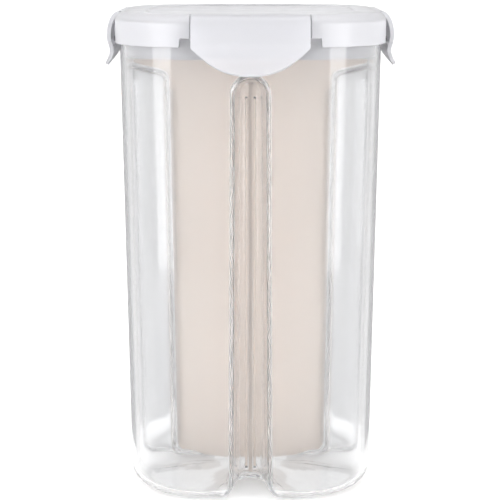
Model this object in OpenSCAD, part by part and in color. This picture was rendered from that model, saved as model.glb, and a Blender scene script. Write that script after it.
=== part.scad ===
// Tall clear storage canister for cereal and dry food.
// A four-lobed tub with a groove in the middle of each side, a cross divider that lifts out,
// and a press-on lid with a gasket and four snap flaps on living hinges.
// The origin is the middle of the base, +Z is up and -Y is the front. All sizes are in millimetres.

/* [Canister] */
// Half of the outside width, measured at the base
base_half = 51.2; // [50:0.1:52]
// Half of the outside width, measured at the rim
rim_half = 53.1; // [52.5:0.1:53.2]
// Height of the rim
rim_z = 195.2; // [190:0.1:195.2]
// Radius of the plan's corners
corner_r = 31; // [29:0.5:32]
// Wall thickness
wall = 1.8; // [1.6:0.1:2]
// Floor thickness
floor_t = 2.2; // [1.8:0.1:2.6]
// Radius between the walls and the base
foot_r = 8; // [7:0.5:9]

/* [Grooves] */
// Depth of the groove in each side
groove_depth = 16; // [14:0.5:16.5]
// Angle of a groove flank from straight in
groove_flank = 12; // [11:0.5:14]
// Half of the flat at the back of the groove, at the base
groove_flat_base = 2.2; // [1.8:0.1:2.6]
// Half of the same flat at the top of the groove
groove_flat_top = 1.2; // [1:0.1:1.6]
// Radius of the groove's mouth edges and of its back corners
groove_r = 2.5; // [2.3:0.1:2.8]
// Height at which the groove starts to close
groove_end_z = 169.4; // [160:0.1:169.4]
// Rise of the base between the four feet
base_rise = 2.6; // [1.5:0.1:3]

/* [Locking bars] */
// Length of the bar that each flap snaps under
bar_l = 54; // [50:1:55]
// Underside of the bar
bar_z = 188.7; // [188.7:0.1:189]
// Thickness of the bar
bar_t = 2.2; // [1.6:0.1:2.3]
// Distance from the axis to the bar's edge
bar_reach = 55; // [54.6:0.1:55]

/* [Divider] */
// Thickness of each panel
panel_t = 1.6; // [1.2:0.1:1.8]
// Height of the panels' top edge
panel_top_z = 180; // [179:0.1:181]
// Gap between a panel's edge and the wall
panel_gap = 0.45; // [0.4:0.05:0.8]
// Width of the channel that guides a panel's edge
channel_w = 2.6; // [2.4:0.1:3]

/* [Lid] */
// Overall height, to the top of the lid
height = 200.5; // [200.5:0.1:202]
// Half of the lid's outside width
lid_half = 54.95; // [54.9:0.05:55.2]
// Thickness of the lid's skirt
skirt_t = 1.5; // [1.3:0.05:1.5]
// Lower edge of the skirt
skirt_z = 188; // [187:0.1:188.4]
// Radius of the lid's top edge
lid_edge_r = 4; // [3:0.5:4]
// Lower edge of the plug that goes down inside the rim
plug_z = 183; // [182:0.1:185]
// Gap between the plug and the canister's wall
plug_gap = 0.4; // [0.35:0.05:0.6]
// Height of the gasket between the rim and the lid
gasket_t = 1.8; // [1.4:0.1:1.8]

/* [Flaps] */
// Width of a flap
flap_w = 45.8; // [40:0.2:46]
// Thickness of a flap
flap_t = 1.6; // [1.4:0.1:1.7]
// Lowest point of a flap's finger lip
flap_tip_z = 177.8; // [177:0.1:179]
// Radius of the finger lip's lower edge
flap_arc_r = 31; // [28:0.5:34]
// Radius of the bead that snaps under the bar
bead_r = 0.8; // [0.6:0.05:0.8]
// Length of the bead
bead_l = 40; // [30:1:42]

/* [Hidden] */
$fn = 64;

clear_plastic = [0.86, 0.90, 0.94, 0.45];
frosted_plastic = [0.88, 0.84, 0.80];
lid_plastic = [0.90, 0.90, 0.93];
seal_silicone = [0.96, 0.96, 0.95];

// Steps along the plan's corners and the upright curves
corner_steps = 4;
foot_angles = [30, 60, 90];
arch_steps = [0, 0.3, 0.55, 0.75, 0.88, 0.97];
floor_scales = [0.85, 0.65, 0.4];

// The valleys under the base run in from each groove and fade out before the middle
valley_half = 14;
valley_inner = 16;
valley_outer = 30;

inner_foot_r = foot_r - floor_t;
// Smallest radius of a mouth edge, and the spacing that keeps a closing arch's points apart
sharp = 0.3;
pinch = 0.03;
// Radius of the arch that closes a groove, out to where its mouth starts to curve
arch_rise = sin(groove_flank) * (groove_depth - 2 * groove_r) + 2 * groove_r;
arch_r = groove_flat_top + arch_rise / cos(groove_flank);
arch_over = 0.3;
groove_top_z = groove_end_z + arch_r + arch_over;

// Channel ribs
rib_t = 1;
rib_depth = 2;
rib_root = 0.9;
rib_start_z = foot_r + 1;
rib_stop_z = groove_end_z - 2;

// The panel's lower edge: flat over the floor's middle, then up over the valley and round the foot
panel_flat = valley_inner - 5;
panel_slope = valley_inner + 4;
panel_slope_z = floor_t + panel_gap + 0.5;
panel_foot_shift = 1;
panel_foot_z = foot_r + 2;
slot_gap = 0.3;

// Distances along the lid's section
skirt_inner = lid_half - skirt_t;
plug_half = rim_half - wall - plug_gap;
plug_t = 1.5;
seat_z = rim_z + gasket_t;
plate_t = 2;
panel_inset = 12;
panel_depth = 0.6;
pocket_half = lid_half - 0.55;
pocket_gap = 0.4;
pocket_z = 198.2;
pocket_chamfer = 1.8;
notch_gap = 0.5;
hinge_x = 52;
hinge_z = 200.2;
hinge_half = 1;
web_t = 0.5;
web_gap = 0.05;
web_inset = 1;
flap_bulge = 58.4;
flap_bulge_z = 190.5;
flap_neck = 57.6;
flap_neck_z = 185.2;
flap_tip = 61.6;
lip_over = 0.5;
// Handles of the curves through the flap's root, bulge, neck and tip
root_handle = [3.2, 0];
bulge_upper = [-0.1, 5.5];
bulge_lower = [0, -2.1];
neck_upper = [0, 2];
neck_lower = [0, -2.8];
tip_handle = [-1.8, 2.8];
bead_clear = 0.3;
bead_z = 187.8;

function mix(a, b, k) = a + (b - a) * k;
function clamp01(k) = min(1, max(0, k));
function ease(k) = (1 - cos(180 * clamp01(k))) / 2;
function arc(c, r, a0, a1, n) =
    [for (i = [0:n]) let(a = mix(a0, a1, i / n)) [c[0] + r * cos(a), c[1] + r * sin(a)]];
function bezier(p, n) = [
    for (i = [0:n])
        let(t = i / n, s = 1 - t)
        s * s * s * p[0] + 3 * s * s * t * p[1] + 3 * s * t * t * p[2] + t * t * t * p[3]
];

// Canister outline -------------------------------------------------------------------------

function half_at(z) = mix(base_half, rim_half, z / rim_z);
function flat_at(z) = mix(groove_flat_base, groove_flat_top, z / groove_end_z);

// How far in the groove's surface is, at a distance x inside the line where its mouth starts to curve.
// run is the distance from that line to the flat at the back.
function groove_in(x, mouth_r, back_r, run) =
    x <= 0 ? 0
    : x < mouth_r * cos(groove_flank) ? mouth_r - sqrt(mouth_r * mouth_r - x * x)
    : x < run - back_r * cos(groove_flank)
    ? mouth_r * (1 - sin(groove_flank)) + (x - mouth_r * cos(groove_flank)) / tan(groove_flank)
    : x < run ? groove_depth - back_r + sqrt(back_r * back_r - (run - x) * (run - x))
    : groove_depth;

// One side's right half in plan, from the middle of its groove to the 45 degree corner line.
// inset moves the whole outline inwards. Above groove_end_z the groove closes as a round arch,
// and open = false leaves it out.
function half_side(z, inset, open) =
    let(
        w = half_at(z) - inset,
        mouth_r = max(groove_r - inset, sharp),
        back_r = groove_r + inset,
        rise = sin(groove_flank) * (groove_depth - mouth_r - back_r) + mouth_r + back_r,
        run = rise / cos(groove_flank),
        mouth = flat_at(min(z, groove_end_z)) + run,
        up = max(z - groove_end_z, 0),
        back_x = back_r * cos(groove_flank),
        mouth_x = mouth_r * cos(groove_flank),
        steps = [mouth, run, run - back_x / 2, run - back_x, mouth_x, mouth_x / 2, 0],
        last = len(steps) - 1,
        r = corner_r - inset
    )
    concat(
        [
            for (i = [0:last])
                let(
                    reach = mouth - steps[i],
                    u = open ? max(sqrt(max(reach * reach - up * up, 0)), pinch * i) : reach,
                    x = mouth - sqrt(u * u + up * up)
                )
                [u, open ? w - groove_in(x, mouth_r, back_r, run) : w]
        ],
        arc([w - r, w - r], r, 90, 45, corner_steps)
    );

// The whole outline from eight mirrored halves
function outline(z, inset, open = true) =
    let(
        h = half_side(z, inset, open),
        n = len(h),
        side = concat(
            [for (i = [n - 1:-1:1]) [-h[i][0], h[i][1]]],
            [for (i = [0:n - 2]) h[i]]
        )
    )
    [
        for (q = [0:3])
            for (p = side)
                [p[0] * cos(90 * q) + p[1] * sin(90 * q), p[1] * cos(90 * q) - p[0] * sin(90 * q)]
    ];

function valley(a, b) =
    ease((valley_half - abs(a)) / valley_half) * ease((abs(b) - valley_inner) / (valley_outer - valley_inner));
function rise_at(p) = base_rise * max(valley(p[0], p[1]), valley(p[1], p[0]));
function ring(pts, z, lift) = [for (p = pts) [p[0], p[1], z + lift * rise_at(p)]];

// Rings of one skin, from the middle of the floor up to the rim
function skin(bottom_z, fillet_r, inset) = concat(
    [
        for (i = [len(floor_scales) - 1:-1:0])
            ring(outline(foot_r, inset + fillet_r) * floor_scales[i], bottom_z, 1)
    ],
    [
        for (i = [len(foot_angles) - 1:-1:0])
            let(a = foot_angles[i])
            ring(outline(foot_r, inset + fillet_r * (1 - cos(a))), bottom_z + fillet_r * (1 - sin(a)), sin(a))
    ],
    [ring(outline(foot_r, inset), foot_r, 0)],
    [
        for (k = arch_steps)
            let(z = groove_end_z + k * arch_r)
            ring(outline(z, inset), z, 0)
    ],
    [
        ring(outline(groove_top_z, inset, false), groove_top_z, 0),
        ring(outline(rim_z, inset, false), rim_z, 0)
    ]
);

// A closed solid through a run of equal rings, with a fan at each end
module loft(rings) {
    m = len(rings);
    n = len(rings[0]);
    first = [0, 0, rings[0][0][2]];
    last = [0, 0, rings[m - 1][0][2]];
    points = concat([for (r = rings) each r], [first, last]);
    faces = concat(
        [
            for (i = [0:m - 2])
                for (j = [0:n - 1])
                    let(a = i * n + j, b = i * n + (j + 1) % n)
                    each [[a, b, b + n], [a, b + n, a + n]]
        ],
        [for (j = [0:n - 1]) [m * n, (j + 1) % n, j]],
        [for (j = [0:n - 1]) [m * n + 1, (m - 1) * n + j, (m - 1) * n + (j + 1) % n]]
    );
    polyhedron(points, faces);
}

module each_side() {
    for (q = [0:3])
        rotate([0, 0, 90 * q])
            children();
}

// Two upright ribs on the back of each groove hold a panel's edge between them
module channel_ribs() {
    draft = atan((rim_half - base_half) / rim_z);
    back = base_half - wall - groove_depth;
    for (s = [-1, 1])
        translate([s * (channel_w + rib_t) / 2, -back, 0])
            rotate([draft, 0, 0])
                translate([-rib_t / 2, -rib_root, rib_start_z])
                    cube([rib_t, rib_depth + rib_root, rib_stop_z - rib_start_z]);
}

module locking_bar() {
    root = rim_half - wall / 2;
    translate([-bar_l / 2, -bar_reach, bar_z])
        cube([bar_l, bar_reach - root, bar_t]);
}

module canister() {
    inner = skin(floor_t, inner_foot_r, wall);
    outer = skin(0, foot_r, 0);
    m = len(inner);
    color(clear_plastic)
        union() {
            loft(concat(outer, [for (i = [m - 1:-1:0]) inner[i]]));
            each_side() locking_bar();
            each_side() channel_ribs();
        }
}

// Divider ----------------------------------------------------------------------------------

// The panel's edge keeps panel_gap off the wall: up the groove's back, over its arch, to the top
function panel_edge() =
    let(
        grow = wall + panel_gap,
        foot = inner_foot_r + panel_gap,
        foot_x = half_at(0) - groove_depth - grow - foot,
        run = arch_r - groove_flat_top
    )
    concat(
        [[0, floor_t], [panel_flat, floor_t]],
        [[panel_slope, panel_slope_z], [foot_x, floor_t + panel_gap + base_rise]],
        arc([foot_x + panel_foot_shift, panel_foot_z], foot - panel_foot_shift, -60, 0, 4),
        [
            for (k = [0.05, 0.12, 0.3, 0.5, 0.7, 0.85, 1])
                let(up = k * arch_r, x = arch_r - up)
                [
                    half_at(groove_end_z) - grow - groove_in(x, sharp, groove_r + grow, run),
                    groove_end_z + up + panel_gap
                ]
        ],
        [[half_at(panel_top_z) - grow, panel_top_z], [0, panel_top_z]]
    );

module panel_shape() {
    half = panel_edge();
    n = len(half);
    polygon(concat(half, [for (i = [n - 2:-1:1]) [-half[i][0], half[i][1]]]));
}

// A flat panel standing on the XZ plane, with a slot from slot_z0 to slot_z1 in its middle
module panel(slot_z0, slot_z1) {
    slot_w = panel_t + slot_gap;
    rotate([90, 0, 0])
        translate([0, 0, -panel_t / 2])
            linear_extrude(panel_t)
                difference() {
                    panel_shape();
                    translate([-slot_w / 2, slot_z0])
                        square([slot_w, slot_z1 - slot_z0]);
                }
}

module divider_wide_panel() {
    color(frosted_plastic)
        panel(0, panel_top_z / 2);
}

module divider_cross_panel() {
    color(frosted_plastic)
        rotate([0, 0, 90])
            panel(panel_top_z / 2, panel_top_z + 1);
}

// Lid --------------------------------------------------------------------------------------

// A rounded square in plan at half width w, with corners concentric with the canister's
function square_ring(w, z) =
    let(r = max(corner_r - rim_half + w, 2))
    [
        for (q = [0:3])
            for (p = arc([w - r, w - r], r, 90, 0, 2 * corner_steps))
                [p[0] * cos(90 * q) + p[1] * sin(90 * q), p[1] * cos(90 * q) - p[0] * sin(90 * q), z]
    ];

module lid_shell() {
    recess = lid_half - panel_inset;
    profile = concat(
        [[recess - panel_depth, height - panel_depth], [recess, height]],
        [for (a = [90, 60, 30, 0]) [lid_half - lid_edge_r * (1 - cos(a)), height - lid_edge_r * (1 - sin(a))]],
        [[lid_half, skirt_z], [skirt_inner, skirt_z], [skirt_inner, seat_z]],
        [[plug_half, seat_z], [plug_half, plug_z], [plug_half - plug_t, plug_z]],
        [[plug_half - plug_t, height - panel_depth - plate_t]]
    );
    m = len(profile);
    loft([for (i = [m - 1:-1:0]) square_ring(profile[i][0], profile[i][1])]);
}

// The space that a flap's arm swings in, cut from the lid's edge
module flap_pocket() {
    l = flap_w + 2 * pocket_gap;
    out = lid_half + 5;
    rotate([90, 0, -90])
        translate([0, 0, -l / 2])
            linear_extrude(l)
                polygon([
                    [hinge_x - hinge_half, height + 1],
                    [hinge_x - hinge_half, pocket_z],
                    [pocket_half - pocket_chamfer, pocket_z],
                    [pocket_half, pocket_z - pocket_chamfer],
                    [pocket_half, skirt_z - 1],
                    [out, skirt_z - 1],
                    [out, height + 1]
                ]);
}

module bar_notch() {
    l = bar_l + 2 * notch_gap;
    translate([-l / 2, -lid_half - 1, skirt_z - 1])
        cube([l, skirt_t + 2, bar_z + bar_t + notch_gap - skirt_z + 1]);
}

module lid() {
    color(lid_plastic)
        difference() {
            lid_shell();
            each_side() flap_pocket();
            each_side() bar_notch();
        }
}

module rounded_square(w) {
    r = corner_r - rim_half + w;
    for (q = [0:3])
        rotate(90 * q)
            translate([w - r, w - r])
                circle(r);
    square([2 * w, 2 * (w - r)], center = true);
    square([2 * (w - r), 2 * w], center = true);
}

module gasket() {
    color(seal_silicone)
        translate([0, 0, rim_z])
            linear_extrude(gasket_t)
                difference() {
                    rounded_square(skirt_inner - 0.2);
                    rounded_square(plug_half + 0.05);
                }
}

// Flaps ------------------------------------------------------------------------------------

// The flap's outer face in section: over the shoulder, in to the neck, out to the lip
function flap_face() =
    let(
        root = [hinge_x + hinge_half, height],
        bulge = [flap_bulge, flap_bulge_z],
        neck = [flap_neck, flap_neck_z],
        tip = [flap_tip, flap_tip_z - lip_over]
    )
    concat(
        bezier([root, root + root_handle, bulge + bulge_upper, bulge], 8),
        [for (i = [1:4]) bezier([bulge, bulge + bulge_lower, neck + neck_upper, neck], 4)[i]],
        [for (i = [1:6]) bezier([neck, neck + neck_lower, tip + tip_handle, tip], 6)[i]]
    );

function normal_at(p, i) =
    let(
        a = p[max(i - 1, 0)],
        b = p[min(i + 1, len(p) - 1)],
        d = b - a
    )
    [d[1], -d[0]] / norm(d);

module flap_section() {
    face = flap_face();
    n = len(face);
    back = [for (i = [n - 1:-1:0]) face[i] + flap_t * (i == 0 ? [0, -1] : normal_at(face, i))];
    polygon(concat(face, back));
}

// The flap seen square on: straight sides and one arc below
module flap_outline() {
    arc_z = flap_tip_z + flap_arc_r;
    intersection() {
        translate([-flap_w / 2, flap_tip_z - 1])
            square([flap_w, height - flap_tip_z + 2]);
        union() {
            translate([0, arc_z])
                circle(flap_arc_r, $fn = 128);
            translate([-flap_w / 2, arc_z - flap_arc_r / 2])
                square([flap_w, flap_arc_r]);
        }
    }
}

// The ridge on the flap's inner face that snaps under the bar
module bead() {
    translate([-bead_l / 2, -(bar_reach + bead_clear + bead_r), bead_z])
        rotate([0, 90, 0])
            cylinder(bead_l, r = bead_r);
}

module flap() {
    color(lid_plastic)
        union() {
            intersection() {
                rotate([90, 0, -90])
                    translate([0, 0, -flap_w / 2])
                        linear_extrude(flap_w)
                            flap_section();
                translate([0, -hinge_x, 0])
                    rotate([90, 0, 0])
                        linear_extrude(flap_tip - hinge_x + 2)
                            flap_outline();
            }
            bead();
        }
}

module hinge_web() {
    l = flap_w - 2 * web_inset;
    color(lid_plastic)
        translate([-l / 2, -hinge_x - hinge_half + web_gap, hinge_z - web_t / 2])
            cube([l, 2 * hinge_half - web_gap, web_t]);
}

module flap_front() flap();
module flap_right() rotate([0, 0, 90]) flap();
module flap_back() rotate([0, 0, 180]) flap();
module flap_left() rotate([0, 0, 270]) flap();

module hinge_web_front() hinge_web();
module hinge_web_right() rotate([0, 0, 90]) hinge_web();
module hinge_web_back() rotate([0, 0, 180]) hinge_web();
module hinge_web_left() rotate([0, 0, 270]) hinge_web();

canister();
divider_wide_panel();
divider_cross_panel();
lid();
gasket();
flap_front();
flap_back();
flap_left();
flap_right();
hinge_web_front();
hinge_web_back();
hinge_web_left();
hinge_web_right();
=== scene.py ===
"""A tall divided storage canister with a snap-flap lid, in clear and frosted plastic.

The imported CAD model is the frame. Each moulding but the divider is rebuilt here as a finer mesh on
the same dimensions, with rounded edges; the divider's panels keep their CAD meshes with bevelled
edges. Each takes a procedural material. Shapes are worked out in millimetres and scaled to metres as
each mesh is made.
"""
import math

import bpy
from mathutils import Matrix, Vector


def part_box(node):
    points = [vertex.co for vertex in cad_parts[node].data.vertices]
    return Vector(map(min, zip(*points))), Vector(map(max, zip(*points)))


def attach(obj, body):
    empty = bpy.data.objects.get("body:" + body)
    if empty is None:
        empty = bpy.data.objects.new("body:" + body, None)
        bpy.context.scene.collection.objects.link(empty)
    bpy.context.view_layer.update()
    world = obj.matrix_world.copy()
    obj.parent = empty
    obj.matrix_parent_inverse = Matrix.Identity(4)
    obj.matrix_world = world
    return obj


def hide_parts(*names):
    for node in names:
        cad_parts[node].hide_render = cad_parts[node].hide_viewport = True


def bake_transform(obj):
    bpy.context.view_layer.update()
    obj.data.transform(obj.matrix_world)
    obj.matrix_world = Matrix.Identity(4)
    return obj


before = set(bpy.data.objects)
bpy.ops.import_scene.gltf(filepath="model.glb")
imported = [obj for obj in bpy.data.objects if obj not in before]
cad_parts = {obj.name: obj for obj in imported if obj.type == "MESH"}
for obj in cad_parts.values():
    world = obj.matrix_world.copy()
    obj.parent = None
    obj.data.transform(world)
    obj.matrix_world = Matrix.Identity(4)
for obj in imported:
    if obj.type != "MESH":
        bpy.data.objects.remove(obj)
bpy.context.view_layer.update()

MM = 0.001


def box_mm(node):
    """A CAD node's lowest and highest corners in millimetres."""
    low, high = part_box(node)
    return [v / MM for v in low], [v / MM for v in high]


# ---------------------------------------------------------------- sizes from the frame

CAN_HI = box_mm("canister")[1]
LID_LO, LID_HI = box_mm("lid")
SEAL_HI = box_mm("gasket")[1]
FLAP_LO, FLAP_HI = box_mm("flap_front")
WEB_LO, WEB_HI = box_mm("hinge_web_front")
WIDE_LO = box_mm("divider_wide_panel")[0]

RIM_Z = CAN_HI[2]
BAR_REACH = CAN_HI[0]
TOP_Z = LID_HI[2]
PLUG_Z = LID_LO[2]
SEAT_Z = SEAL_HI[2]
SEAL_HALF = SEAL_HI[0]
FLAP_W = FLAP_HI[0] - FLAP_LO[0]
TIP_Z = FLAP_LO[2]
ROOT_X = -FLAP_HI[1]
WEB_HALF_L = WEB_HI[0]
HINGE_Z = (WEB_LO[2] + WEB_HI[2]) / 2
FLOOR_Z = WIDE_LO[2]

# ---------------------------------------------------------------- shape of the canister

BASE_HALF = 51.2
RIM_HALF = 53.1
CORNER_R = 31.0
WALL = 1.8
FOOT_R = 8.0
GROOVE_DEPTH = 16.0
GROOVE_FLANK = math.radians(12)
FLAT_BASE = 2.2
FLAT_TOP = 1.2
GROOVE_R = 2.5
GROOVE_END_Z = 169.4
BASE_RISE = 2.6
VALLEY_HALF = 14.0
VALLEY_INNER = 16.0
VALLEY_OUTER = 30.0
BAR_HALF_L = 27.0
BAR_Z = 188.7
BAR_T = 2.2
CHANNEL_HALF = 1.3
RIB_T = 1.0
RIB_DEPTH = 2.0

SIN_F, COS_F, TAN_F = math.sin(GROOVE_FLANK), math.cos(GROOVE_FLANK), math.tan(GROOVE_FLANK)


def mix(a, b, k):
    return a + (b - a) * k


def ease(k):
    k = min(1.0, max(0.0, k))
    return (1 - math.cos(math.pi * k)) / 2


def half_at(z):
    return mix(BASE_HALF, RIM_HALF, z / RIM_Z)


def flat_at(z):
    return mix(FLAT_BASE, FLAT_TOP, min(z, GROOVE_END_Z) / GROOVE_END_Z)


def groove_run(mouth_r, back_r):
    """Distance across the groove's side, from where its mouth starts to curve to its flat back."""
    rise = SIN_F * (GROOVE_DEPTH - mouth_r - back_r) + mouth_r + back_r
    return rise / COS_F


def groove_in(x, mouth_r, back_r, run):
    """How far in the groove is at a distance x inside its mouth line."""
    if x <= 0:
        return 0.0
    if x < mouth_r * COS_F:
        return mouth_r - math.sqrt(mouth_r * mouth_r - x * x)
    if x < run - back_r * COS_F:
        return mouth_r * (1 - SIN_F) + (x - mouth_r * COS_F) / TAN_F
    if x < run:
        return GROOVE_DEPTH - back_r + math.sqrt(back_r * back_r - (run - x) ** 2)
    return GROOVE_DEPTH


RIB_EDGE = 0.12
RIB_COLUMNS = [
    0.0, 0.5, 1.0, CHANNEL_HALF - RIB_EDGE, CHANNEL_HALF, CHANNEL_HALF + RIB_EDGE,
    CHANNEL_HALF + RIB_T / 2, CHANNEL_HALF + RIB_T - RIB_EDGE, CHANNEL_HALF + RIB_T,
    CHANNEL_HALF + RIB_T + RIB_EDGE, 2.7
]
GROOVE_STEPS = 40
BAR_END = math.degrees(math.asin((BAR_HALF_L - RIM_HALF + CORNER_R) / CORNER_R))
CORNER_ANGLES = [
    0, 3, 6, BAR_END - 0.3, BAR_END, BAR_END + 0.3,
    12, 15.5, 19, 22.5, 26, 29.5, 33, 36.5, 40, 42.5, 45
]


def rib_height(u):
    """How far a channel rib stands off the groove's back at a distance u from its middle."""
    if CHANNEL_HALF <= u <= CHANNEL_HALF + RIB_T:
        return RIB_DEPTH
    return 0.0


def half_side(z, inset, rib, reach):
    """One side's right half in plan, from the middle of its groove to the 45 degree corner line.

    rib scales the channel ribs, and reach pushes the face out to a locking bar's edge.
    """
    w = half_at(z) - inset
    mouth_r = max(GROOVE_R - inset, 0.3)
    back_r = GROOVE_R + inset
    run = groove_run(mouth_r, back_r)
    mouth = flat_at(z) + run
    up = max(z - GROOVE_END_Z, 0.0)
    last = RIB_COLUMNS[-1]
    columns = RIB_COLUMNS + [
        mix(last, mouth, i / GROOVE_STEPS) for i in range(1, GROOVE_STEPS + 1)
    ]
    points = []
    for u in columns:
        depth = groove_in(mouth - math.hypot(u, up), mouth_r, back_r, run)
        depth += rib * rib_height(u)
        points.append((u, max(w - depth, reach)))
    centre = w - (CORNER_R - inset)
    r = CORNER_R - inset
    for a in CORNER_ANGLES:
        s, c = math.sin(math.radians(a)), math.cos(math.radians(a))
        push = reach if a <= BAR_END else 0.0
        points.append((centre + r * s, max(centre + r * c, push)))
    return points


def whole_ring(half):
    """The ring of all four sides from one side's right half."""
    side = [(-u, w) for u, w in half[:0:-1]] + half[:-1]
    return turned(side)


def turned(side):
    """Four copies of one side, in turn clockwise from +Y."""
    ring = []
    for q in range(4):
        c, s = round(math.cos(q * math.pi / 2)), round(math.sin(q * math.pi / 2))
        ring += [(x * c + y * s, y * c - x * s) for x, y in side]
    return ring


def valley(a, b):
    return ease((VALLEY_HALF - abs(a)) / VALLEY_HALF) * ease(
        (abs(b) - VALLEY_INNER) / (VALLEY_OUTER - VALLEY_INNER)
    )


def base_rise(x, y):
    return BASE_RISE * max(valley(x, y), valley(y, x))


def raised(ring, z, lift=0.0):
    return [(x, y, z + lift * base_rise(x, y)) for x, y in ring]


def skin(bottom_z, fillet_r, inset, inside):
    """Rings of the canister's outer or inner skin, from the middle of its floor up to the rim."""

    def plan(z, extra=0.0, rib=0.0, reach=0.0):
        return whole_ring(half_side(z, inset + extra, rib, reach))

    rings = []
    foot = plan(FOOT_R, fillet_r)
    for k in (0.02, 0.15, 0.3, 0.4, 0.5, 0.58, 0.66, 0.74, 0.82, 0.9, 0.96):
        rings.append(raised([(x * k, y * k) for x, y in foot], bottom_z, 1.0))
    for i in range(10):
        a = math.radians(90 - 9 * i)
        ring = plan(FOOT_R, fillet_r * (1 - math.cos(a)))
        rings.append(raised(ring, bottom_z + fillet_r * (1 - math.sin(a)), math.sin(a)))
    levels = [(FOOT_R, 0.0)]
    if inside:
        levels += [(FOOT_R + 1.0, 0.0), (FOOT_R + 1.4, 0.7), (FOOT_R + 2.5, 1.0)]
    levels += [(mix(FOOT_R, GROOVE_END_Z, k), 1.0) for k in (0.25, 0.5, 0.75)]
    if inside:
        levels += [
            (GROOVE_END_Z - 4.0, 1.0), (GROOVE_END_Z - 2.8, 0.7), (GROOVE_END_Z - 2.2, 0.0)
        ]
    for z, rib in levels:
        rings.append(raised(plan(z, rib=rib if inside else 0.0), z))
    arch_steps = 26
    arch_top = GROOVE_END_Z + FLAT_TOP + groove_run(GROOVE_R, GROOVE_R)
    for i in range(arch_steps + 1):
        z = mix(GROOVE_END_Z, arch_top, i / arch_steps)
        rings.append(raised(plan(z), z))
    if not inside:
        soft = 0.3
        for z, reach in (
            (BAR_Z - 0.02, 0.0), (BAR_Z, BAR_REACH - soft),
            (BAR_Z + soft / 3, BAR_REACH - soft / 4),
            (BAR_Z + soft, BAR_REACH), (BAR_Z + BAR_T - soft, BAR_REACH),
            (BAR_Z + BAR_T - soft / 3, BAR_REACH - soft / 4), (BAR_Z + BAR_T, BAR_REACH - soft),
            (BAR_Z + BAR_T + 0.02, 0.0),
        ):
            rings.append(raised(plan(z, reach=reach), z))
    lip = 0.55
    for i in range(6):
        a = math.radians(18 * i)
        ring = plan(RIM_Z, lip * (1 - math.cos(a)))
        rings.append(raised(ring, RIM_Z - lip * (1 - math.sin(a))))
    return rings


# ---------------------------------------------------------------- mesh building

def loft(rings, close_start=True, close_end=True, loop=False):
    """Points and faces of a run of equal rings, closed by a fan at each end or into a loop."""
    n = len(rings[0])
    points = [p for ring in rings for p in ring]
    faces = []
    pairs = [(i, i + 1) for i in range(len(rings) - 1)]
    if loop:
        pairs.append((len(rings) - 1, 0))
    for i, k in pairs:
        for j in range(n):
            m = (j + 1) % n
            faces.append((i * n + j, i * n + m, k * n + m, k * n + j))
    if close_start and not loop:
        points.append((0.0, 0.0, rings[0][0][2]))
        top = len(points) - 1
        faces += [(top, (j + 1) % n, j) for j in range(n)]
    if close_end and not loop:
        points.append((0.0, 0.0, rings[-1][0][2]))
        top = len(points) - 1
        base = (len(rings) - 1) * n
        faces += [(top, base + j, base + (j + 1) % n) for j in range(n)]
    return points, faces


def make_piece(name, points, faces, material, sharp=40):
    """A smooth-shaded mesh object from millimetre points, with its normals turned outwards."""
    mesh = bpy.data.meshes.new(name)
    mesh.from_pydata([(x * MM, y * MM, z * MM) for x, y, z in points], [], faces)
    mesh.validate()
    turn_outwards(mesh)
    mesh.shade_smooth()
    mesh.set_sharp_from_angle(angle=math.radians(sharp))
    mesh.materials.append(material)
    piece = bpy.data.objects.new(name, mesh)
    bpy.context.scene.collection.objects.link(piece)
    return piece


def turn_outwards(mesh):
    volume = 0.0
    for poly in mesh.polygons:
        corners = [mesh.vertices[i].co for i in poly.vertices]
        for b, c in zip(corners[1:-1], corners[2:]):
            volume += corners[0].dot(b.cross(c))
    if volume < 0:
        mesh.flip_normals()


def add_bevel(piece, width_mm, segments=3, angle=35):
    bevel = piece.modifiers.new("soft edges", "BEVEL")
    bevel.width = width_mm * MM
    bevel.segments = segments
    bevel.limit_method = "ANGLE"
    bevel.angle_limit = math.radians(angle)
    bevel.harden_normals = False


def stand_for(piece, node, body):
    """piece takes a CAD node's place on its body, and the node is hidden."""
    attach(piece, body)
    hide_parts(node)


# ---------------------------------------------------------------- materials

def new_material(name):
    material = bpy.data.materials.new(name)
    material.use_nodes = True
    nodes = material.node_tree.nodes
    shader = next(n for n in nodes if n.type == "BSDF_PRINCIPLED")
    return material, shader


def node_of(material, kind, **sockets):
    """A new shader node with the named inputs set."""
    node = material.node_tree.nodes.new(kind)
    for key, value in sockets.items():
        node.inputs[key.replace("_", " ")].default_value = value
    return node


def link(material, source, target):
    material.node_tree.links.new(source, target)


def object_noise(material, scale, detail=3.0, stretch=(1, 1, 1)):
    """Noise on object coordinates, optionally stretched along an axis."""
    place = material.node_tree.nodes.new("ShaderNodeTexCoord")
    mapping = node_of(material, "ShaderNodeMapping", Scale=stretch)
    noise = node_of(material, "ShaderNodeTexNoise", Scale=scale, Detail=detail)
    link(material, place.outputs["Object"], mapping.inputs["Vector"])
    link(material, mapping.outputs["Vector"], noise.inputs["Vector"])
    return noise.outputs["Fac"]


def ranged(material, source, low, high, start=0.3, stop=0.7):
    node = node_of(
        material, "ShaderNodeMapRange",
        From_Min=start, From_Max=stop, To_Min=low, To_Max=high
    )
    link(material, source, node.inputs["Value"])
    return node.outputs["Result"]


def add_bump(material, shader, layers):
    """Chains bump layers, each (height source, distance in mm, strength)."""
    normal = None
    for height, distance, strength in layers:
        bump = node_of(material, "ShaderNodeBump", Strength=strength, Distance=distance * MM)
        link(material, height, bump.inputs["Height"])
        if normal is not None:
            link(material, normal, bump.inputs["Normal"])
        normal = bump.outputs["Normal"]
    link(material, normal, shader.inputs["Normal"])


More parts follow.
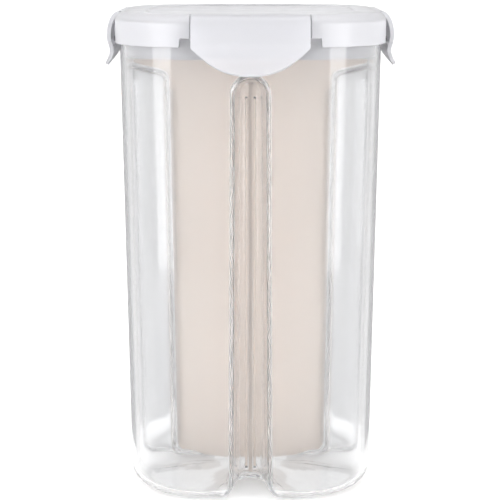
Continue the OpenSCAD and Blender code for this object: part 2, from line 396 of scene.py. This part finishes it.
def tint(material, shader, source, dark, light):
    """Base colour that drifts between two near colours."""
    ramp = material.node_tree.nodes.new("ShaderNodeValToRGB")
    ramp.color_ramp.elements[0].position = 0.3
    ramp.color_ramp.elements[1].position = 0.7
    ramp.color_ramp.elements[0].color = (*dark, 1)
    ramp.color_ramp.elements[1].color = (*light, 1)
    link(material, source, ramp.inputs["Fac"])
    link(material, ramp.outputs["Color"], shader.inputs["Base Color"])


def clear_plastic():
    """The tub's clear styrene: glossy, faintly blue, with the soft waves of a moulded wall."""
    material, shader = new_material("clear_plastic")
    shader.inputs["Transmission Weight"].default_value = 0.965
    shader.inputs["IOR"].default_value = 1.38
    waves = object_noise(material, 22, 2.0, (1, 1, 0.25))
    haze = object_noise(material, 60, 4.0)
    tint(material, shader, haze, (0.988, 0.990, 0.994), (0.994, 0.996, 0.998))
    link(material, ranged(material, haze, 0.06, 0.11), shader.inputs["Roughness"])
    fine = object_noise(material, 900, 2.0)
    add_bump(material, shader, [(waves, 0.06, 0.25), (fine, 0.002, 0.25)])
    absorb = node_of(material, "ShaderNodeVolumeAbsorption", Density=50.0)
    absorb.inputs["Color"].default_value = (0.94, 0.943, 0.95, 1)
    out = next(n for n in material.node_tree.nodes if n.type == "OUTPUT_MATERIAL")
    link(material, absorb.outputs["Volume"], out.inputs["Volume"])
    return material


def frosted_plastic(name, dark, light, transmission, roughness, grain):
    """Translucent moulded plastic with a fine satin grain."""
    material, shader = new_material(name)
    shader.inputs["Transmission Weight"].default_value = transmission
    shader.inputs["IOR"].default_value = 1.49
    drift = object_noise(material, 14, 3.0)
    tint(material, shader, drift, dark, light)
    rub = object_noise(material, 120, 4.0)
    rubbed = ranged(material, rub, roughness - 0.05, roughness + 0.06)
    link(material, rubbed, shader.inputs["Roughness"])
    satin = object_noise(material, grain, 3.0)
    flow = object_noise(material, 30, 2.0)
    add_bump(material, shader, [(flow, 0.15, 0.25), (satin, 0.012, 0.5)])
    return material


CLEAR = clear_plastic()
PANEL = frosted_plastic(
    "frosted_panel", dark=(0.885, 0.80, 0.735), light=(0.905, 0.825, 0.76),
    transmission=0.35, roughness=0.50, grain=1600
)
LID_PLASTIC = frosted_plastic(
    "frosted_lid", dark=(0.80, 0.80, 0.83), light=(0.825, 0.825, 0.85),
    transmission=0.64, roughness=0.36, grain=1400
)
SEAL = frosted_plastic(
    "silicone", dark=(0.88, 0.88, 0.87), light=(0.91, 0.91, 0.90),
    transmission=0.40, roughness=0.55, grain=900
)

# ---------------------------------------------------------------- canister

outer = skin(0.0, FOOT_R, 0.0, False)
inner = skin(FLOOR_Z, FOOT_R - FLOOR_Z, WALL, True)
points, faces = loft(outer + inner[::-1])
canister = make_piece("canister_moulding", points, faces, CLEAR)
stand_for(canister, "canister", "canister")

# ---------------------------------------------------------------- divider

for node in ("divider_wide_panel", "divider_cross_panel"):
    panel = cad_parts[node]
    panel.data.materials.clear()
    panel.data.materials.append(PANEL)
    add_bevel(panel, 0.35, 2)

# ---------------------------------------------------------------- lid

LID_HALF = 54.95
SKIRT_T = 1.5
SKIRT_Z = 188.0
LID_EDGE_R = 4.0
SEAT_W = 2.55
PLUG_T = 1.5
PLATE_T = 2.0
RECESS_IN = 12.0
RECESS_DEPTH = 0.6
POCKET_HALF_L = FLAP_W / 2 + 0.4
POCKET_X = ROOT_X - 2.0
POCKET_FACE = LID_HALF - 0.55
POCKET_Z = 198.2
POCKET_CHAMFER = 1.8
NOTCH_HALF_L = BAR_HALF_L + 0.5
NOTCH_Z = BAR_Z + BAR_T + 0.5
LID_CENTRE = RIM_HALF - CORNER_R


def square_columns(steps, extra=()):
    """Columns of one side of a rounded square: (u on the straight, angle round the corner)."""
    half = [(u, 0.0) for u in [LID_CENTRE * i / steps for i in range(steps)]]
    angles = sorted({0.0, *extra, *[45 * i / 14 for i in range(1, 15)]})
    half += [(LID_CENTRE, a) for a in angles]
    return [(-u, -a) for u, a in half[:0:-1]] + half[:-1]


def column_point(column, w):
    """Where a column crosses the rounded square of half width w."""
    u, a = column
    r = w - LID_CENTRE
    x = u + math.copysign(r * math.sin(math.radians(abs(a))), a) if a else u
    return x, (LID_CENTRE + r * math.cos(math.radians(a)))


def angle_at(length, w):
    """The corner angle at which the rounded square of half width w is that far along its side."""
    return math.degrees(math.asin((length - LID_CENTRE) / (w - LID_CENTRE)))


def swept(columns, profiles):
    """Rings through each column's own profile, for four equal sides."""
    count = len(profiles[0])
    rings = []
    for i in range(count):
        side = []
        for column, profile in zip(columns, profiles):
            w, z = profile[i]
            x, y = column_point(column, w) if w > LID_CENTRE else shrunk(column, w)
            side.append((x, y, z))
        ring = []
        for q in range(4):
            c, s = round(math.cos(q * math.pi / 2)), round(math.sin(q * math.pi / 2))
            ring += [(x * c + y * s, y * c - x * s, z) for x, y, z in side]
        rings.append(ring)
    return rings


def shrunk(column, w):
    """A column's point well inside the plate, where the outline is a scaled copy."""
    x, y = column_point(column, LID_CENTRE + 4)
    k = w / (LID_CENTRE + 4)
    return x * k, y * k


def lid_edge(pocket, notch):
    """The lid's rim in section, blended between the plain edge, the bar notch and the flap pocket."""
    steps = 8
    plain = []
    for i in range(steps + 1):
        a = math.radians(90 * i / steps)
        plain.append((
            LID_HALF - LID_EDGE_R * (1 - math.sin(a)), TOP_Z - LID_EDGE_R * (1 - math.cos(a))
        ))
    soft = 0.3
    cut = [
        (POCKET_X - soft - 0.1, TOP_Z), (POCKET_X - 0.1, TOP_Z - 0.1),
        (POCKET_X, TOP_Z - soft - 0.1), (POCKET_X, POCKET_Z + 0.2), (POCKET_X + 0.2, POCKET_Z),
        (POCKET_FACE - POCKET_CHAMFER - 0.2, POCKET_Z),
        (POCKET_FACE - POCKET_CHAMFER + 0.2, POCKET_Z - 0.15),
        (POCKET_FACE - 0.2, POCKET_Z - POCKET_CHAMFER + 0.2),
        (POCKET_FACE, POCKET_Z - POCKET_CHAMFER - 0.2),
    ]
    face = mix(LID_HALF, POCKET_FACE, pocket)
    foot = mix(SKIRT_Z, NOTCH_Z, notch)
    inner_face = LID_HALF - SKIRT_T
    profile = [(mix(a[0], b[0], pocket), mix(a[1], b[1], pocket)) for a, b in zip(plain, cut)]
    profile += [
        (face, foot + soft), (face - 0.09, foot + 0.09), (face - soft, foot),
        (inner_face + soft, foot), (inner_face + 0.09, foot + 0.09), (inner_face, foot + soft),
    ]
    return profile


def lid_profile(pocket, notch):
    recess = LID_HALF - RECESS_IN
    low = TOP_Z - RECESS_DEPTH
    under = low - PLATE_T
    plug = LID_HALF - SKIRT_T - SEAT_W
    inside = plug - PLUG_T
    soft = 0.4
    top = [
        (2.0, low), (12.0, low), (24.0, low), (recess - 3, low), (recess - 1.1, low),
        (recess - 0.8, low + 0.06), (recess - 0.45, low + 0.3), (recess - 0.1, TOP_Z - 0.06),
        (recess + 0.25, TOP_Z), (recess + 3.5, TOP_Z),
    ]
    below = [
        (LID_HALF - SKIRT_T, SEAT_Z - 0.3), (LID_HALF - SKIRT_T - 0.3, SEAT_Z),
        (plug + 0.3, SEAT_Z), (plug, SEAT_Z - 0.3), (plug, PLUG_Z + 2.2),
        (plug - 0.12, PLUG_Z + soft), (plug - soft, PLUG_Z),
        (inside + soft, PLUG_Z), (inside + 0.12, PLUG_Z + 0.12), (inside, PLUG_Z + soft),
        (inside, under - 1.4), (inside - 0.4, under - 0.4), (inside - 1.4, under),
        (24.0, under), (2.0, under),
    ]
    return top + lid_edge(pocket, notch) + below


def blend_near(length, edge, soft):
    """1 inside the edge, 0 outside it and a soft step between."""
    return 1 - ease((length - edge + soft) / (2 * soft))


def lid_moulding():
    soft = 0.22
    extra = []
    for edge in (POCKET_HALF_L, NOTCH_HALF_L):
        steps = (-1.05, -0.6, -0.25, 0, 0.25, 0.6, 1.05)
        extra += [angle_at(edge + k * soft, LID_HALF) for k in steps]
    columns = square_columns(14, extra)
    profiles = []
    for column in columns:
        length = abs(column_point(column, LID_HALF)[0])
        profiles.append(lid_profile(
            blend_near(length, POCKET_HALF_L, soft), blend_near(length, NOTCH_HALF_L, soft)
        ))
    points, faces = loft(swept(columns, profiles))
    piece = make_piece("lid_moulding", points, faces, LID_PLASTIC)
    stand_for(piece, "lid", "lid")


lid_moulding()

# ---------------------------------------------------------------- gasket

SEAL_W = 2.5


def gasket_ring():
    """A silicone ring with two soft lips on its underside and a groove between them."""
    inside = LID_HALF - SKIRT_T - SEAL_W
    low, high = RIM_Z, SEAT_Z
    width = SEAL_HALF - inside
    profile = []
    for k, z in (
        (0.0, high - 0.25), (0.06, high - 0.05), (0.15, high), (0.85, high), (0.94, high - 0.05),
        (1.0, high - 0.25), (1.0, low + 0.35), (0.95, low + 0.1), (0.85, low), (0.72, low + 0.1),
        (0.62, low + 0.4), (0.5, low + 0.5), (0.38, low + 0.4), (0.28, low + 0.1), (0.15, low),
        (0.05, low + 0.1), (0.0, low + 0.35),
    ):
        profile.append((inside + k * width, z))
    columns = square_columns(6)
    points, faces = loft(swept(columns, [profile] * len(columns)), loop=True)
    piece = make_piece("gasket_ring", points, faces, SEAL)
    stand_for(piece, "gasket", "lid")


gasket_ring()

# ---------------------------------------------------------------- flaps and hinges

FLAP_T = 1.6
LIP_T = 1.25
FLAP_ARC_R = 31.0
BULGE = (58.4, 190.5)
NECK = (57.6, 185.2)
TIP = (61.6, TIP_Z - 0.5)
BEAD_Z = 187.8
BEAD_R = 0.8
BEAD_HALF_L = 20.0
BEAD_IN = BAR_REACH + 0.3
BEAD_FADE = 1.2
FIXED_TO_Z = 189.6


def bezier(p, n):
    out = []
    for i in range(n + 1):
        t = i / n
        s = 1 - t
        weights = (s ** 3, 3 * s * s * t, 3 * s * t * t, t ** 3)
        out.append(tuple(sum(k * q[axis] for k, q in zip(weights, p)) for axis in (0, 1)))
    return out


def shifted(p, dx, dz):
    return p[0] + dx, p[1] + dz


def flap_face():
    """The flap's outer face in section: over the shoulder, in to the neck, out to the lip."""
    root = (ROOT_X, TOP_Z)
    face = bezier([root, shifted(root, 3.2, 0), shifted(BULGE, -0.1, 5.5), BULGE], 24)
    face += bezier([BULGE, shifted(BULGE, 0, -2.1), shifted(NECK, 0, 2), NECK], 14)[1:]
    face += bezier([NECK, shifted(NECK, 0, -2.8), shifted(TIP, -1.8, 2.8), TIP], 20)[1:]
    return face


def along(line, z):
    """The index, with its fraction, at which a falling section line reaches a height."""
    for i in range(len(line) - 1):
        if line[i][1] >= z >= line[i + 1][1]:
            drop = line[i][1] - line[i + 1][1]
            return i + (line[i][1] - z) / drop if drop else i
    return len(line) - 1.0


def at_index(line, k):
    i = min(int(k), len(line) - 2)
    return tuple(mix(line[i][axis], line[i + 1][axis], k - i) for axis in (0, 1))


def inward(line, k):
    """Unit normal of the section at an index, towards the canister."""
    a = at_index(line, max(k - 0.5, 0))
    b = at_index(line, min(k + 0.5, len(line) - 1.001))
    dx, dz = b[0] - a[0], b[1] - a[1]
    length = math.hypot(dx, dz)
    return dz / length, -dx / length


def flap_moulding(name):
    """A flap with its bead: rows down to FIXED_TO_Z are straight, then they fan to the round lip."""
    line = flap_face()
    fixed = along(line, FIXED_TO_Z)
    fixed_rows, lip_rows, half_columns = 30, 34, 24
    half_w = FLAP_W / 2
    arc_z = TIP_Z + FLAP_ARC_R
    front, back = [], []
    for c in range(-half_columns, half_columns + 1):
        u = half_w * math.sin(math.pi / 2 * c / half_columns)
        end = along(line, arc_z - math.sqrt(FLAP_ARC_R ** 2 - u * u))
        rows = [fixed * i / fixed_rows for i in range(fixed_rows)]
        rows += [mix(fixed, end, i / lip_rows) for i in range(lip_rows + 1)]
        face_column, back_column = [], []
        for k in rows:
            x, z = at_index(line, k)
            nx, nz = inward(line, k) if k > 0 else (0.0, -1.0)
            lip = ease((NECK[1] - z) / (NECK[1] - TIP_Z))
            t = mix(FLAP_T, LIP_T, lip)
            bx, bz = x + nx * t, z + nz * t
            inside = BEAD_R ** 2 - (bz - BEAD_Z) ** 2
            if inside > 0:
                ends = 1 - ease((abs(u) - BEAD_HALF_L + BEAD_FADE) / BEAD_FADE)
                bx = min(bx, mix(bx, BEAD_IN + BEAD_R - math.sqrt(inside), ends))
            face_column.append((u, -x, z))
            back_column.append((u, -bx, bz))
        front.append(face_column)
        back.append(back_column)
    points, faces = slab(front, back)
    return make_piece(name, points, faces, LID_PLASTIC)


def slab(front, back):
    """A closed solid between two equal grids of points."""
    m, n = len(front), len(front[0])
    points = [p for column in front for p in column] + [p for column in back for p in column]
    size = m * n
    faces = []
    for i in range(m - 1):
        for j in range(n - 1):
            a, b, c, d = i * n + j, (i + 1) * n + j, (i + 1) * n + j + 1, i * n + j + 1
            faces.append((a, b, c, d))
            faces.append((size + d, size + c, size + b, size + a))
    rim = [i * n for i in range(m)] + [(m - 1) * n + j for j in range(1, n)]
    rim += [i * n + n - 1 for i in range(m - 2, -1, -1)] + [j for j in range(n - 2, 0, -1)]
    for a, b in zip(rim, rim[1:] + rim[:1]):
        faces.append((b, a, size + a, size + b))
    return points, faces


HINGE_T_THIN = 0.28
HINGE_T_ROOT = 0.5


def hinge_strip(name):
    """The living hinge: a strip of the lid's plastic, thinned along the line where it bends."""
    rows, columns = 18, 8
    start, stop = POCKET_X - 0.05, ROOT_X + 0.05
    front, back = [], []
    for c in range(columns + 1):
        u = mix(-WEB_HALF_L, WEB_HALF_L, c / columns)
        top, under = [], []
        for i in range(rows + 1):
            k = i / rows
            x = mix(start, stop, k)
            half_t = mix(HINGE_T_THIN, HINGE_T_ROOT, abs(2 * k - 1) ** 2) / 2
            top.append((u, -x, HINGE_Z + half_t))
            under.append((u, -x, HINGE_Z - half_t))
        front.append(top)
        back.append(under)
    points, faces = slab(front, back)
    return make_piece(name, points, faces, LID_PLASTIC)


SIDES = {"front": 0, "right": 90, "back": 180, "left": 270}
for side, degrees in SIDES.items():
    spin = Matrix.Rotation(math.radians(degrees), 4, "Z")
    flap = flap_moulding("flap_" + side + "_moulding")
    flap.data.transform(spin)
    add_bevel(flap, 0.4, 3, 60)
    stand_for(flap, "flap_" + side, "flap_" + side)
    strip = hinge_strip("hinge_" + side + "_strip")
    strip.data.transform(spin)
    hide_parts("hinge_web_" + side)
    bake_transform(strip)

# ---------------------------------------------------------------- stage, lights and camera

FLOOR_REACH = 6.0
FLOOR_GREY = 0.82
FLOOR_GLOW = 0.25
# The card round the back is painted shade: a grey glow, no lamp, that the clear walls refract and
# reflect to look grey.
CARD_R = 0.075
CARD_FOOT = 0.002
CARD_TOP = 0.19
CARD_ANGLES = (-5, 185)
CARD_STEPS = 24
CARD_PAINTED_SHADE_GLOW = 0.61
WORLD_GLOW = 1.17
LENS_MM = 99.3
CAMERA_PLACE = (-0.0002, -0.5886, 0.225)
CAMERA_DOWN = 12.31
AIM = (0, 0, 0.1)


def stage_floor():
    """A plain pale floor that glows a little, so that it stays near white."""
    mesh = bpy.data.meshes.new("floor")
    corners = [(x * FLOOR_REACH, y * FLOOR_REACH, 0) for x, y in ((-1, -1), (1, -1), (1, 1), (-1, 1))]
    mesh.from_pydata(corners, [], [(0, 1, 2, 3)])
    material, shader = new_material("pale_floor")
    shader.inputs["Base Color"].default_value = (FLOOR_GREY, FLOOR_GREY, FLOOR_GREY, 1)
    shader.inputs["Roughness"].default_value = 0.9
    shader.inputs["Emission Color"].default_value = (1, 1, 1, 1)
    shader.inputs["Emission Strength"].default_value = FLOOR_GLOW
    shader.inputs["Specular IOR Level"].default_value = 0.1
    mesh.materials.append(material)
    floor = bpy.data.objects.new("floor", mesh)
    bpy.context.scene.collection.objects.link(floor)


def softbox(name, place, target, width, height, power):
    """A rectangular lamp that faces the target, and that the camera doesn't see."""
    lamp = bpy.data.lights.new(name, "AREA")
    lamp.shape = "RECTANGLE"
    lamp.size = width
    lamp.size_y = height
    lamp.energy = power
    holder = bpy.data.objects.new(name, lamp)
    holder.location = place
    aim = Vector(target) - Vector(place)
    holder.rotation_euler = aim.to_track_quat("-Z", "Y").to_euler()
    holder.visible_camera = False
    bpy.context.scene.collection.objects.link(holder)


def studio():
    """An even white surround, a softbox at each side of the camera and one overhead."""
    world = bpy.data.worlds.new("studio")
    world.use_nodes = True
    back = next(n for n in world.node_tree.nodes if n.type == "BACKGROUND")
    back.inputs["Color"].default_value = (1, 1, 1, 1)
    back.inputs["Strength"].default_value = WORLD_GLOW
    bpy.context.scene.world = world
    softbox("key_left", (-0.32, -0.27, 0.16), AIM, width=0.20, height=0.40, power=1.15)
    softbox("key_right", (0.31, -0.28, 0.16), AIM, width=0.18, height=0.40, power=1.05)
    softbox("top", (0.0, -0.1, 1.1), AIM, width=0.7, height=0.7, power=1.4)
    bpy.context.scene.view_settings.view_transform = "Standard"
    bpy.context.scene.view_settings.look = "None"


def camera():
    """A long lens in front of the canister, looking slightly down."""
    data = bpy.data.cameras.new("camera")
    data.sensor_width = 36.0
    data.lens = LENS_MM
    holder = bpy.data.objects.new("camera", data)
    holder.location = CAMERA_PLACE
    holder.rotation_euler = (math.radians(90 - CAMERA_DOWN), 0, 0)
    bpy.context.scene.collection.objects.link(holder)
    bpy.context.scene.camera = holder


def painted_shade_card():
    """An even grey glowing card round the back of the canister: no lamp, but painted shade.

    The clear walls refract it, which makes them grey. The camera doesn't see it directly.
    """
    mesh = bpy.data.meshes.new("painted_shade_card")
    points = []
    for i in range(CARD_STEPS + 1):
        a = math.radians(mix(*CARD_ANGLES, i / CARD_STEPS))
        x, y = CARD_R * math.cos(a), CARD_R * math.sin(a)
        points += [(x, y, CARD_FOOT), (x, y, CARD_TOP)]
    faces = [(2 * i, 2 * i + 2, 2 * i + 3, 2 * i + 1) for i in range(CARD_STEPS)]
    mesh.from_pydata(points, [], faces)
    material, shader = new_material("painted_shade_glow")
    shader.inputs["Base Color"].default_value = (0, 0, 0, 1)
    shader.inputs["Specular IOR Level"].default_value = 0
    # Painted shade: a grey glow in place of a darker surround, seen only through and in the clear
    # walls.
    shader.inputs["Emission Color"].default_value = (0.985, 0.985, 1.0, 1)
    shader.inputs["Emission Strength"].default_value = CARD_PAINTED_SHADE_GLOW
    mesh.materials.append(material)
    card = bpy.data.objects.new("painted_shade_card", mesh)
    card.visible_camera = False
    card.visible_shadow = False
    card.visible_diffuse = False
    bpy.context.scene.collection.objects.link(card)


def light_paths():
    """Room for light to pass the many clear walls without going dark."""
    cycles = bpy.context.scene.cycles
    cycles.max_bounces = 28
    cycles.transmission_bounces = 24
    cycles.glossy_bounces = 16
    cycles.diffuse_bounces = 10


stage_floor()
# Painted shade for the clear walls: a hidden grey glowing card.
painted_shade_card()
light_paths()
studio()
camera()
